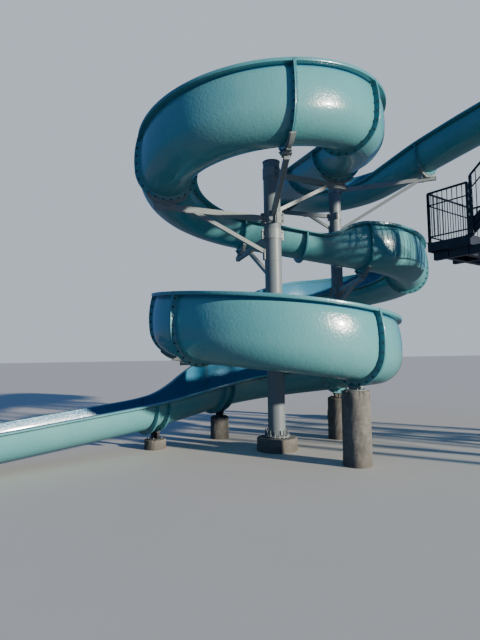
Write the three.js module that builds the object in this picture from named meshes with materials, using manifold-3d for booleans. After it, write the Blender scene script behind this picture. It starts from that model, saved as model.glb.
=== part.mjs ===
// Outdoor fibreglass body slide on two steel columns, with its stair tower.
// Millimetres. Origin: middle of the underside of the front column's footing.
// +Z up, +Y from the front column away from the viewer, +X to the viewer's right.
import * as THREE from "three";
import { mergeVertices } from "three/addons/utils/BufferGeometryUtils.js";
import Module from "manifold-3d";

const wasm = await Module();
wasm.setup();

// driving dimensions

// plan of the slide: circles it winds round, top first (turn +1 is leftwards)
const circles = [
  { x: 2005, y: 3500, radius: 1450, turn: 1 },
  { x: -170, y: -45, radius: 1540, turn: -1 },
  { x: 1765, y: 3600, radius: 1580, turn: 1 },
  { x: 0, y: 0, radius: 1515, turn: 1 },
];
const entryHeading = 127;
const exitHeading = 221.5;
const entryLength = 7300;
const exitLength = 5250;

// flume cross-section
const innerRadius = 400;
const wall = 10;
const flangeRise = 85;
const flangeWidth = 14;
const flangeFillet = 6;
const ribSetback = 190;
const lipWidth = 95;
const lipDepth = 50;
const lipClear = 12;
const wallLean = 0.09;
const wallCurl = 1300;
const jointGap = 0.1;
const bowlSteps = 7;
const bendStep = 15;
const straightStep = 700;

// columns, footings and piers
const columns = {
  front: { x: 0, y: 0, top: 4660 },
  rear: { x: 1765, y: 3600, top: 5500 },
};
const columnRadius = 136.5;
const columnSides = 20;
const footingRadius = 320;
const footingHeight = 200;
const basePlateRadius = 205;
const basePlateHeight = 22;
const seat = 0.2;

// stair tower, set out along the entry run (u towards the start, v towards the slide)
const towerHeading = -53;
const towerCorner = { x: 2935, y: 1050 };
const landingHeight = 3500;
const deckHeight = 6560;
const landingLength = 800;
const flightWidth = 780;
const flightGap = 110;
const treadDepth = 270;
const treadOverlap = 20;
const going = 250;
const railHeight = 930;
const railTube = 34;
const balusterTube = 14;
const balusterPitch = 150;
const deckThickness = 60;
const fasciaHeight = 260;
const fasciaThickness = 12;
const deckStart = 4350;
const deckLength = 2000;
const deckWidth = 2900;
const postSize = 140;
const postLine = 1040;
const postInset = 130;
const braceInset = 18;
const tieLower = 700;
const tieUpper = 3400;
const tieFront = 4600;
const beamDepth = 150;
const toeBoard = 90;
const treadThickness = 36;
const stringerThickness = 12;
const stringerDepth = 230;
const stringerLift = 90;
const slideLine = 2181;
const slideClear = 545;

// materials

function paint(color, roughness, metalness) {
  return new THREE.MeshStandardMaterial({ color, roughness, metalness });
}

const looks = {
  flume: () => paint(0x5f9ca6, 0.28, 0),
  steel: () => paint(0x8f9492, 0.5, 0.2),
  concrete: () => paint(0x7d776c, 0.9, 0),
  tower: () => paint(0x1d2a38, 0.5, 0.25),
  deck: () => paint(0x4a5257, 0.7, 0.3),
};

// solids

function toSolid(geometry) {
  const plain = geometry.clone();
  plain.deleteAttribute("normal");
  plain.deleteAttribute("uv");
  const welded = mergeVertices(plain, 1e-3);
  const mesh = new wasm.Mesh({
    numProp: 3,
    vertProperties: new Float32Array(welded.attributes.position.array),
    triVerts: new Uint32Array(welded.index.array),
  });
  return new wasm.Manifold(mesh);
}

function toGeometry(solid) {
  const mesh = solid.getMesh();
  const geometry = new THREE.BufferGeometry();
  const positions = new Float32Array(mesh.numVert * 3);
  for (let i = 0; i < mesh.numVert; i += 1) {
    for (let k = 0; k < 3; k += 1) {
      positions[i * 3 + k] = mesh.vertProperties[i * mesh.numProp + k];
    }
  }
  geometry.setAttribute("position", new THREE.BufferAttribute(positions, 3));
  geometry.setIndex(new THREE.BufferAttribute(new Uint32Array(mesh.triVerts), 1));
  geometry.computeVertexNormals();
  return geometry;
}

function joined(solids) {
  let whole = solids[0];
  for (const solid of solids.slice(1)) {
    whole = whole.add(solid);
  }
  return whole;
}

function box(width, depth, height, x, y, z, heading = 0) {
  const geometry = new THREE.BoxGeometry(width, depth, height);
  geometry.rotateZ(THREE.MathUtils.degToRad(heading));
  geometry.translate(x, y, z);
  return toSolid(geometry);
}

function drum(radius, bottom, top, x, y, sides = columnSides) {
  const geometry = new THREE.CylinderGeometry(radius, radius, top - bottom, sides);
  geometry.rotateX(Math.PI / 2);
  geometry.translate(x, y, (top + bottom) / 2);
  return toSolid(geometry);
}

// square or flat bar between two points, its height kept as upright as it can be
function bar(from, to, width, height) {
  const start = new THREE.Vector3(...from);
  const end = new THREE.Vector3(...to);
  const along = end.clone().sub(start);
  const length = along.length();
  along.normalize();
  const steep = Math.abs(along.z) > 0.99;
  const up = steep ? new THREE.Vector3(0, 1, 0) : new THREE.Vector3(0, 0, 1);
  const side = new THREE.Vector3().crossVectors(up, along).normalize();
  const rise = new THREE.Vector3().crossVectors(along, side).normalize();
  const geometry = new THREE.BoxGeometry(length, width, height);
  geometry.applyMatrix4(new THREE.Matrix4().makeBasis(along, side, rise));
  const middle = start.clone().add(end).multiplyScalar(0.5);
  geometry.translate(middle.x, middle.y, middle.z);
  return toSolid(geometry);
}

function node(name, geometry, look) {
  const mesh = new THREE.Mesh(geometry, looks[look]());
  mesh.name = name;
  return mesh;
}

function part(name, solid, look) {
  return node(name, toGeometry(solid), look);
}

// path of the slide

function headingBetween(first, second) {
  const dx = second.x - first.x;
  const dy = second.y - first.y;
  const r1 = first.radius * first.turn;
  const r2 = second.radius * second.turn;
  return Math.atan2(dy, dx) + Math.asin((r1 - r2) / Math.hypot(dx, dy));
}

function pointOn(circle, heading) {
  const r = circle.radius * circle.turn;
  return { x: circle.x + r * Math.sin(heading), y: circle.y - r * Math.cos(heading) };
}

// straight and curved stretches in order, each with its length and heading
function stretches() {
  const headings = [THREE.MathUtils.degToRad(entryHeading)];
  for (let i = 0; i + 1 < circles.length; i += 1) {
    headings.push(headingBetween(circles[i], circles[i + 1]));
  }
  headings.push(THREE.MathUtils.degToRad(exitHeading));
  const list = [];
  const first = pointOn(circles[0], headings[0]);
  list.push({
    kind: "straight",
    x: first.x - entryLength * Math.cos(headings[0]),
    y: first.y - entryLength * Math.sin(headings[0]),
    heading: headings[0],
    length: entryLength,
  });
  circles.forEach((circle, i) => {
    const begin = headings[i];
    let finish = headings[i + 1];
    while (circle.turn * (finish - begin) < 0) {
      finish += circle.turn * 2 * Math.PI;
    }
    const length = Math.abs(finish - begin) * circle.radius;
    list.push({ kind: "bend", circle, begin, finish, length });
    const from = pointOn(circle, headings[i + 1]);
    const last = i + 1 === circles.length;
    const to = last ? null : pointOn(circles[i + 1], headings[i + 1]);
    const run = last ? exitLength : Math.hypot(to.x - from.x, to.y - from.y);
    list.push({ kind: "straight", x: from.x, y: from.y, heading: headings[i + 1], length: run });
  });
  let s = 0;
  for (const item of list) {
    item.start = s;
    s += item.length;
  }
  return list;
}

const route = stretches();
const [, bendA, runA, bendB, runB, bendC, runC, bendD, exitRun] = route;
const pathLength = exitRun.start + exitRun.length;

function headingAlong(bend, degrees) {
  const turned = bend.circle.turn * (THREE.MathUtils.degToRad(degrees) - bend.begin);
  const full = 2 * Math.PI;
  return bend.start + (((turned % full) + full) % full) * bend.circle.radius;
}

function placeAt(s) {
  let item = route[0];
  for (const other of route) {
    if (s >= other.start) {
      item = other;
    }
  }
  const t = s - item.start;
  if (item.kind === "straight") {
    return {
      x: item.x + t * Math.cos(item.heading),
      y: item.y + t * Math.sin(item.heading),
      heading: item.heading,
    };
  }
  const heading = item.begin + (item.circle.turn * t) / item.circle.radius;
  return { ...pointOn(item.circle, heading), heading };
}

// depth of a flange's flat foot below the flume's underside
const flangeOuter = innerRadius + wall + flangeRise;
const flangeFoot = flangeOuter * Math.cos(Math.PI / 2 / bowlSteps) - innerRadius - wall;
const startFall = 11.5;

// height of the flume's underside along the path; the start stands on the deck
const drops = [
  [0, deckHeight + flangeFoot + startFall],
  [bendA.start - 4200, 6225],
  [bendA.start - 2300, 5930],
  [bendA.start + 150, 5460],
  [bendA.start + 1100, 5330],
  [bendA.start + 2600, 5190],
  [runA.start, 4975],
  [bendB.start, 4595],
  [headingAlong(bendB, 182), 4230],
  [headingAlong(bendB, 106), 3950],
  [runB.start, 3550],
  [bendC.start, 3175],
  [headingAlong(bendC, 92), 2880],
  [runC.start, 2420],
  [bendD.start, 1730],
  [bendD.start + 900, 1520],
  [headingAlong(bendD, 360), 1270],
  [headingAlong(bendD, 413), 1080],
  [headingAlong(bendD, 452), 990],
  [exitRun.start, 560],
  [exitRun.start + 1400, 330],
  [exitRun.start + 3820, 130],
  [pathLength, 75],
];

// wall heights above the underside: the outer side of a bend stands tall
const leftWalls = [
  [0, 620],
  [bendA.start - 1200, 620],
  [bendA.start + 200, 480],
  [runA.start - 500, 450],
  [runA.start + 900, 450],
  [bendB.start - 900, 700],
  [bendB.start + 200, 850],
  [headingAlong(bendB, 225), 930],
  [runB.start - 900, 930],
  [runB.start + 300, 450],
  [pathLength, 450],
];
const rightWalls = [
  [0, 620],
  [bendA.start - 1200, 700],
  [bendA.start + 200, 950],
  [runA.start - 1600, 950],
  [runA.start + 100, 600],
  [runA.start + 700, 450],
  [bendC.start - 1000, 450],
  [bendC.start - 450, 860],
  [bendC.start + 350, 970],
  [runC.start - 1000, 950],
  [runC.start, 720],
  [runC.start + 1200, 500],
  [runC.start + 2600, 520],
  [bendD.start - 200, 880],
  [bendD.start + 400, 950],
  [bendD.start + 5600, 970],
  [exitRun.start - 250, 960],
  [exitRun.start + 350, 760],
  [exitRun.start + 900, 470],
  [exitRun.start + 1300, 450],
  [pathLength, 450],
];
const easing = 240;

function straightBetween(table, s) {
  if (s <= table[0][0]) {
    return table[0][1];
  }
  for (let i = 1; i < table.length; i += 1) {
    const [s1, v1] = table[i];
    if (s <= s1) {
      const [s0, v0] = table[i - 1];
      return v0 + ((v1 - v0) * (s - s0)) / (s1 - s0);
    }
  }
  return table[table.length - 1][1];
}

// a mean over a short stretch rounds the corners of the table
function eased(table, s) {
  const shifts = [-1, -0.5, 0, 0.5, 1];
  const values = shifts.map((k) => straightBetween(table, s + k * easing));
  return values.reduce((sum, v) => sum + v, 0) / values.length;
}

// flume sections

const centre = innerRadius + wall;

// inner face of a wall: it leaves the bowl leaning out and curls in again higher up
function wallAt(up) {
  const above = up - centre;
  return innerRadius + wallLean * above - above ** 2 / (2 * wallCurl);
}

// a lip is shallower on a low wall, so that it stays clear of the bowl
function lipDepthAt(top) {
  return Math.min(lipDepth, top - centre - lipClear);
}

// closed outline across the flume: left rim, bowl, right rim, then back outside
function outline(s, thickness) {
  const leftTop = eased(leftWalls, s);
  const rightTop = eased(rightWalls, s);
  const leftDepth = lipDepthAt(leftTop);
  const rightDepth = lipDepthAt(rightTop);
  const points = [];
  const half = (up) => (up + centre) / 2;
  points.push([wallAt(leftTop), leftTop], [wallAt(half(leftTop)), half(leftTop)]);
  for (let i = 0; i <= bowlSteps; i += 1) {
    const a = (Math.PI * i) / bowlSteps;
    points.push([innerRadius * Math.cos(a), centre - innerRadius * Math.sin(a)]);
  }
  points.push([-wallAt(half(rightTop)), half(rightTop)], [-wallAt(rightTop), rightTop]);
  points.push([-wallAt(rightTop) - lipWidth, rightTop]);
  points.push([-wallAt(rightTop) - lipWidth, rightTop - rightDepth]);
  const rightLow = rightTop - rightDepth - 1;
  points.push([-wallAt(rightLow) - thickness, rightLow]);
  points.push([-wallAt(half(rightLow)) - thickness, half(rightLow)]);
  const outer = innerRadius + thickness;
  for (let i = bowlSteps; i >= 0; i -= 1) {
    const a = (Math.PI * i) / bowlSteps;
    points.push([outer * Math.cos(a), centre - outer * Math.sin(a)]);
  }
  const leftLow = leftTop - leftDepth - 1;
  points.push([wallAt(half(leftLow)) + thickness, half(leftLow)]);
  points.push([wallAt(leftLow) + thickness, leftLow]);
  points.push([wallAt(leftTop) + lipWidth, leftTop - leftDepth]);
  points.push([wallAt(leftTop) + lipWidth, leftTop]);
  return points;
}

// carries flat outlines along the path and closes both ends; crossed turns the
// diagonals round so that a hollow outline matches the full one lying in it
function carried(stations, crossed = false) {
  const count = stations[0].outline.length;
  const positions = [];
  for (const station of stations) {
    const place = placeAt(station.s);
    const height = station.base ?? eased(drops, station.s);
    const sin = Math.sin(place.heading);
    const cos = Math.cos(place.heading);
    for (const [side, up] of station.outline) {
      positions.push(place.x - sin * side, place.y + cos * side, height + up);
    }
  }
  const faces = [];
  for (let j = 0; j + 1 < stations.length; j += 1) {
    for (let i = 0; i < count; i += 1) {
      const a = j * count + i;
      const b = j * count + ((i + 1) % count);
      const split = crossed
        ? [a, b, a + count, b, b + count, a + count]
        : [a, b, b + count, a, b + count, a + count];
      faces.push(...split);
    }
  }
  const flat = stations[0].outline.map(([x, y]) => new THREE.Vector2(x, y));
  const cap = THREE.ShapeUtils.triangulateShape(flat, []);
  const last = (stations.length - 1) * count;
  for (const [a, b, c] of cap) {
    faces.push(a, c, b);
    faces.push(last + a, last + b, last + c);
  }
  const geometry = new THREE.BufferGeometry();
  geometry.setAttribute("position", new THREE.Float32BufferAttribute(positions, 3));
  geometry.setIndex(faces);
  geometry.computeVertexNormals();
  return geometry;
}

function stationsBetween(from, to) {
  const marks = [from];
  for (const item of route) {
    const begin = Math.max(from, item.start);
    const finish = Math.min(to, item.start + item.length);
    if (finish - begin < 1) {
      continue;
    }
    const bend = item.kind === "bend";
    const step = bend ? THREE.MathUtils.degToRad(bendStep) * item.circle.radius : straightStep;
    const parts = Math.max(1, Math.round((finish - begin) / step));
    for (let i = 1; i <= parts; i += 1) {
      marks.push(begin + ((finish - begin) * i) / parts);
    }
  }
  return marks;
}

function flumeSection(name, from, to, ribbed) {
  const a = from + jointGap;
  const b = to - jointGap;
  const thick = wall + flangeRise;
  const stations = [];
  const add = (marks, thickness) => {
    for (const s of marks) {
      stations.push({ s, outline: outline(s, thickness) });
    }
  };
  let first = a + flangeWidth + flangeFillet;
  const last = b - flangeWidth - flangeFillet;
  add([a, a + flangeWidth], thick);
  if (ribbed) {
    const rib = from + ribSetback;
    add([first, rib - flangeFillet], wall);
    add([rib, rib + 2 * flangeWidth], thick);
    first = rib + 2 * flangeWidth + flangeFillet;
  }
  add(stationsBetween(first, last), wall);
  add([b - flangeWidth, b], thick);
  return node(name, carried(stations), "flume");
}

// joints between sections, top to bottom
const joints = {
  start: 0,
  entryMiddle: bendA.start - 3150,
  entryArm: bendA.start - 1260,
  rearWest: headingAlong(bendA, 270),
  crossing: runA.start + 1200,
  loopEast: bendB.start - 370,
  loopSouthEast: headingAlong(bendB, 232),
  loopSouth: headingAlong(bendB, 190),
  loopWest: headingAlong(bendB, 106),
  loopNorth: runB.start,
  midRun: runB.start + 1200,
  midFront: bendC.start - 150,
  midEast: headingAlong(bendC, 80),
  midNorth: headingAlong(bendC, 165),
  backRun: runC.start,
  backWest: headingAlong(bendD, 272),
  lowWest: headingAlong(bendD, 312),
  lowFront: headingAlong(bendD, 401),
  lowEast: headingAlong(bendD, 489),
  exitPier: exitRun.start - 60,
  exitLow: exitRun.start + 1300,
  end: pathLength,
};

// the sections on the two lowest piers have a second rib beyond the joint
const ribbedFrom = ["exitPier", "exitLow"];

function flumeSections() {
  const marks = Object.entries(joints);
  const group = new THREE.Group();
  group.name = "flume";
  for (let i = 0; i + 1 < marks.length; i += 1) {
    const [joint, from] = marks[i];
    const name = `flume_${String(i + 1).padStart(2, "0")}_from_${joint}`;
    group.add(flumeSection(name, from, marks[i + 1][1], ribbedFrom.includes(joint)));
  }
  return group;
}

// supports

const saddleWidth = 80;
const saddleFacets = 3;
const stubFacets = 1;
const armPast = 190;
const armWidth = 70;
const armHeight = 90;
const braceSize = 60;
const saddleDepth = 40;
const saddlePad = 120;
const armLap = 12;
const bearingDepth = 34;
const bearingWidth = 150;

// cradle under a joint: hollow top fits the flange, flat bottom at a fixed height
function saddle(s, bottom, facets = saddleFacets) {
  const facet = Math.PI / bowlSteps;
  const radius = centre + flangeRise + seat / Math.cos(facet / 2);
  const half = saddleWidth / 2;
  const edge = jointGap + flangeWidth;
  const stations = [s - half, s - edge, s, s + edge, s + half].map((at) => {
    const base = eased(drops, at);
    const points = [];
    for (let i = -facets / 2; i <= facets / 2; i += 1) {
      points.push([-radius * Math.sin(i * facet), centre - radius * Math.cos(i * facet)]);
    }
    const reach = radius * Math.sin((facets / 2) * facet);
    points.push([-reach, bottom - base]);
    points.push([reach, bottom - base]);
    return { s: at, outline: points, base };
  });
  return toSolid(carried(stations, true));
}

function under(s, depth = saddleDepth) {
  const place = placeAt(s);
  const low = Math.min(eased(drops, s - saddleWidth / 2), eased(drops, s + saddleWidth / 2));
  return [place.x, place.y, low - flangeRise - depth];
}

function saddleAt(s, depth = saddleDepth) {
  return saddle(s, under(s, depth)[2]);
}

// takes the column's own shape out of an arm so that it bears on the pipe
function fitted(solid, column) {
  const clear = columnRadius + seat / Math.cos(Math.PI / columnSides);
  return solid.subtract(drum(clear, -100, column.top + 1, column.x, column.y));
}

// bearing plate on the side of a column, facing the given heading
function bearing(column, height, heading, tall) {
  const reach = columnRadius + bearingDepth / 2 - 12;
  const x = column.x + reach * Math.cos(heading);
  const y = column.y + reach * Math.sin(heading);
  const degrees = THREE.MathUtils.radToDeg(heading);
  return box(bearingDepth, bearingWidth, tall, x, y, height, degrees);
}

// cantilever from a column to a saddle under a joint, with an optional brace below it
function arm(column, joint, atHeight, braceFrom = null, braceAlong = 0.7, past = 0) {
  const tip = under(joint);
  const heading = Math.atan2(tip[1] - column.y, tip[0] - column.x);
  const root = [column.x, column.y, atHeight];
  const tipMiddle = [tip[0], tip[1], tip[2] - armHeight / 2 + armLap];
  const reach = 1 + past / Math.hypot(tip[0] - column.x, tip[1] - column.y);
  const end = root.map((v, k) => v + (tipMiddle[k] - v) * reach);
  const solids = [
    saddleAt(joint),
    bearing(column, atHeight, heading, armHeight + 70),
    bar(root, end, armWidth, armHeight),
    box(saddlePad, saddlePad, 2 * armLap, tip[0], tip[1], tip[2]),
  ];
  if (braceFrom !== null) {
    const meet = root.map((v, k) => v + (tipMiddle[k] - v) * braceAlong);
    solids.push(bar([column.x, column.y, braceFrom], meet, braceSize, braceSize));
    solids.push(bearing(column, braceFrom + 20, heading, braceSize + 60));
  }
  return solids;
}

function columnPart(name, column) {
  const plate = footingHeight + seat;
  const solids = [
    drum(columnRadius, plate + 5, column.top - 5, column.x, column.y),
    drum(basePlateRadius, plate, plate + basePlateHeight, column.x, column.y),
    drum(columnRadius + 9, column.top - 14, column.top, column.x, column.y),
  ];
  return part(name, joined(solids), "steel");
}

function pier(name, s, radius, top) {
  const place = placeAt(s);
  return part(name, drum(radius, 0, top, place.x, place.y), "concrete");
}

function pierSaddle(name, s, radius, top) {
  const place = placeAt(s);
  const plate = drum(radius * 0.8, top + seat, top + 14, place.x, place.y, 16);
  return part(name, saddle(s, top + seat + 3, stubFacets).add(plate), "steel");
}

const piers = {
  front: { joint: joints.lowFront, radius: 192, top: 995 },
  east: { joint: joints.lowEast, radius: 192, top: 720 },
  exit: { joint: joints.exitPier, radius: 165, top: 390 },
  low: { joint: joints.exitLow, radius: 175, top: 155 },
};

function supports() {
  const group = new THREE.Group();
  group.name = "supports";
  const { front, rear } = columns;
  group.add(columnPart("column_front", front));
  group.add(columnPart("column_rear", rear));
  for (const [name, column] of Object.entries(columns)) {
    const block = drum(footingRadius, 0, footingHeight, column.x, column.y);
    group.add(part(`footing_${name}`, block, "concrete"));
  }
  for (const [name, p] of Object.entries(piers)) {
    group.add(pier(`pier_${name}`, p.joint, p.radius, p.top));
    group.add(pierSaddle(`saddle_${name}`, p.joint, p.radius, p.top));
  }
  const add = (name, column, solids) => {
    group.add(part(name, fitted(joined(solids), column), "steel"));
  };
  add("arm_loop_east", front, arm(front, joints.loopEast, 4460, 3800, 0.88, armPast));
  add("arm_loop_south", front, arm(front, joints.loopSouth, 3720));
  add("arm_loop_west", front, arm(front, joints.loopWest, 3690, 3080, 0.78, armPast));
  add("arm_loop_north", front, arm(front, joints.loopNorth, 3440, 2700, 0.72, armPast));
  add("arm_back_west", front, arm(front, joints.backWest, 1400));
  add("arm_entry", rear, arm(rear, joints.entryArm, 5400, 4380, 0.92, armPast));
  add("arm_rear_west", rear, arm(rear, joints.rearWest, 4760, 4400, 0.55, armPast));
  add("arm_mid_front", rear, arm(rear, joints.midFront, 2960, 2640, 0.8));
  add("arm_mid_north", rear, arm(rear, joints.midNorth, 2500, 2120, 0.8));
  add("arm_back_run", rear, arm(rear, joints.backRun, 2200, 1860, 0.8));
  group.add(part("saddle_end", saddle(pathLength - saddleWidth / 2, 0, stubFacets), "steel"));
  return group;
}

// stair tower

// the tower is built along its own u and v, then turned and moved as one group
function slab(u0, u1, v0, v1, z0, z1) {
  return box(u1 - u0, v1 - v0, z1 - z0, (u0 + u1) / 2, (v0 + v1) / 2, (z0 + z1) / 2);
}

// plate with a deep fascia round it
function platform(u0, u1, v0, v1, top) {
  const low = top - fasciaHeight + toeBoard;
  const t = fasciaThickness;
  return joined([
    slab(u0, u1, v0, v1, top - deckThickness, top),
    slab(u0, u1, v0, v0 + t, low, top - deckThickness + 8),
    slab(u0, u1, v1 - t, v1, low, top - deckThickness + 8),
    slab(u0, u0 + t, v0, v1, low, top - deckThickness + 8),
    slab(u1 - t, u1, v0, v1, low, top - deckThickness + 8),
  ]);
}

// straight flight: treads between two stringers, trimmed square at both ends
function flight(low, high, rises, v0) {
  const v1 = v0 + flightWidth;
  const direction = Math.sign(high.u - low.u);
  const rise = (high.z - low.z) / rises;
  const solids = [];
  for (let i = 1; i < rises; i += 1) {
    const front = low.u + direction * going * (i - 1);
    const back = front + direction * treadDepth;
    const top = low.z + rise * i;
    const span = [Math.min(front, back), Math.max(front, back)];
    solids.push(slab(...span, v0 + 6, v1 - 6, top - treadThickness, top));
  }
  const slope = rise / going;
  for (const v of [v0 + stringerThickness / 2, v1 - stringerThickness / 2]) {
    const zAt = (u) => low.z + Math.abs(u - low.u) * slope + stringerLift;
    const from = low.u - direction * 300;
    const to = high.u + direction * 300;
    const fromZ = low.z - 300 * slope + stringerLift;
    solids.push(bar([from, v, fromZ], [to, v, zAt(to)], stringerThickness, stringerDepth));
  }
  const whole = joined(solids);
  const near = Math.min(low.u, high.u) + seat;
  const far = Math.max(low.u, high.u) - seat;
  const floor = Math.max(0, low.z - 400);
  const room = slab(near, far, v0 - 1, v1 + 1, floor, high.z + 400);
  return whole.intersect(room);
}

function pole(foot, from, to, size) {
  return box(size, size, to - from, foot[0], foot[1], foot[2] + (from + to) / 2);
}

// top rail, bottom rail, posts and balusters between two points at walking level
function railing(from, to, posts, level, foot) {
  const lift = (p, h) => [p[0], p[1], p[2] + h];
  const between = (t) => from.map((v, k) => v + (to[k] - v) * t);
  const length = Math.hypot(to[0] - from[0], to[1] - from[1]);
  const solids = [
    bar(lift(from, railHeight), lift(to, railHeight), railTube, railTube),
    bar(lift(from, level), lift(to, level), railTube, railTube),
  ];
  const post = railTube + 12;
  for (let i = 0; i <= posts; i += 1) {
    solids.push(pole(between(i / posts), foot, railHeight + railTube / 2, post));
  }
  const count = Math.round(length / balusterPitch);
  for (let i = 1; i < count; i += 1) {
    const clash = Math.abs((i / count) * posts - Math.round((i / count) * posts)) * length;
    if (clash / posts < post) {
      continue;
    }
    solids.push(pole(between(i / count), level, railHeight, balusterTube));
  }
  return solids;
}

function basePad(u, v) {
  const half = postSize * 0.9;
  return slab(u - half, u + half, v - half, v + half, 0, 20);
}

// two posts and a head beam standing across the stair, optionally cross-braced
function bent(u, v0, v1, top, ties, crossed, overhang = postSize / 2) {
  const half = postSize / 2;
  const solids = [slab(u - half, u + half, v0 - overhang, v1 + overhang, top - postSize, top)];
  for (const v of [v0, v1]) {
    solids.push(slab(u - half, u + half, v - half, v + half, 0, top));
    solids.push(basePad(u, v));
  }
  for (const z of ties) {
    solids.push(slab(u - 40, u + 40, v0, v1, z - 50, z + 50));
  }
  for (const [za, zb] of crossed) {
    const a = v0 + braceInset;
    const b = v1 - braceInset;
    const low = za + 2 * braceInset;
    const high = zb - 2 * braceInset;
    solids.push(bar([u - 9, a, low], [u - 9, b, high], 46, 46));
    solids.push(bar([u + 9, a, high], [u + 9, b, low], 46, 46));
  }
  return solids;
}

// flat frame between the two deck bents on one side
function sideFrame(v, u0, u1, levels) {
  const half = postSize / 2 + seat;
  const a = u0 + half;
  const b = u1 - half;
  const solids = levels.map((z) => slab(a, b, v - 40, v + 40, z - 50, z + 50));
  for (let i = 0; i + 1 < levels.length; i += 1) {
    const up = i % 2 === 0;
    const za = up ? levels[i] : levels[i + 1];
    const zb = up ? levels[i + 1] : levels[i];
    solids.push(bar([a + 30, v, za], [b - 30, v, zb], 50, 50));
  }
  return joined(solids);
}

function tower() {
  const group = new THREE.Group();
  group.name = "stair_tower";
  group.position.set(towerCorner.x, towerCorner.y, 0);
  group.rotation.z = THREE.MathUtils.degToRad(towerHeading);
  const add = (name, solid, look = "tower") => group.add(part(name, solid, look));
  const lowerStart = flightWidth + flightGap;
  const outerEdge = lowerStart + flightWidth;
  const deckEnd = deckStart + deckLength;
  const toe = landingHeight - fasciaHeight + toeBoard;
  const deckUnder = deckHeight - fasciaHeight + toeBoard;

  add("landing", platform(0, landingLength, 0, outerEdge, landingHeight));
  const head = toe - seat;
  const beams = [
    slab(60, postLine + 70, 80, 180, head - beamDepth, head),
    slab(60, postLine + 70, 735, 835, head - beamDepth, head),
    slab(250, 350, 60, outerEdge - 60, head - beamDepth, head),
    slab(620, 720, 60, outerEdge - 60, head - beamDepth, head),
    ...bent(postLine, 130, 785, head - beamDepth + 2, [1600], [[1600, 3080]]),
  ];
  add("landing_bent", joined(beams));

  add("start_deck", platform(deckStart, deckEnd, 0, deckWidth, deckHeight));
  const u0 = deckStart + 100;
  const u1 = deckEnd - 100;
  const top = deckUnder - seat;
  const v0 = postInset;
  const v1 = deckWidth - postInset;
  const reach = postInset - 5;
  const upperPanel = [tieUpper, top - 70];
  const front = bent(u0, v0, v1, top, [tieFront], [[tieFront, top - 70]], reach);
  const panels = [[tieLower, tieUpper], upperPanel];
  const back = bent(u1, v0, v1, top, [tieLower, tieUpper], panels, reach);
  add("deck_bent_front", joined(front));
  add("deck_bent_back", joined(back));
  const levels = [tieLower, tieUpper, top - 60];
  add("deck_side_near", sideFrame(v0, u0, u1, levels));
  add("deck_side_far", sideFrame(v1, u0, u1, levels));

  const upperRises = 15;
  const lowerRises = 18;
  const landingEdge = landingLength;
  const lowerFoot = landingEdge + going * (lowerRises - 1) + 50;
  const upper = [{ u: landingEdge, z: landingHeight }, { u: deckStart, z: deckHeight }];
  const lower = [{ u: lowerFoot, z: 0 }, { u: landingEdge, z: landingHeight }];
  add("flight_upper", flight(...upper, upperRises, 0), "deck");
  add("flight_lower", flight(...lower, lowerRises, lowerStart), "deck");

  const side = railTube / 2 + 6 + seat;
  const inset = 30;
  const slant = (list, v) => {
    const way = Math.sign(list[1].u - list[0].u);
    const a = [list[0].u + way * 60, v, list[0].z + 90];
    const b = [list[1].u - way * 60, v, list[1].z - 60];
    return joined(railing(a, b, 3, 60, -90));
  };
  add("rail_upper_near", slant(upper, -side));
  add("rail_upper_far", slant(upper, flightWidth + side));
  add("rail_lower_near", slant(lower, lowerStart - side));
  add("rail_lower_far", slant(lower, outerEdge + side));

  const z = landingHeight;
  const landingRun = landingLength - inset;
  const landingFar = outerEdge - inset;
  add("rail_landing", joined([
    ...railing([landingRun, inset, z], [inset, inset, z], 1, 110, seat),
    ...railing([inset, inset, z], [inset, landingFar, z], 1, 110, seat),
    ...railing([inset, landingFar, z], [landingRun, landingFar, z], 1, 110, seat),
  ]));

  const d = deckHeight;
  const nearU = deckStart + inset;
  const farU = deckEnd - inset;
  const flumeNear = slideLine - slideClear;
  const flumeFar = slideLine + slideClear;
  const loop = [
    [[nearU, inset], [farU, inset], 2],
    [[farU, inset], [farU, deckWidth - inset], 3],
    [[farU, deckWidth - inset], [nearU, deckWidth - inset], 2],
    [[nearU, deckWidth - inset], [nearU, flumeFar], 1],
  ];
  const solids = loop.flatMap(([a, b, n]) => railing([...a, d], [...b, d], n, 110, seat));
  add("rail_deck", joined(solids));
  const middle = railing([nearU, flightWidth + 40, d], [nearU, flumeNear, d], 1, 110, seat);
  add("rail_deck_middle", joined(middle));
  return group;
}

// whole object

const root = new THREE.Group();
root.name = "water_slide_tower";
root.add(flumeSections());
root.add(supports());
root.add(tower());

export default root;
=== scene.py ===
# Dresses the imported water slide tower: fine flume shells, steel, concrete, stairs and a studio.
import math
import bpy
import numpy as np
from mathutils import Matrix, Vector


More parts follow.
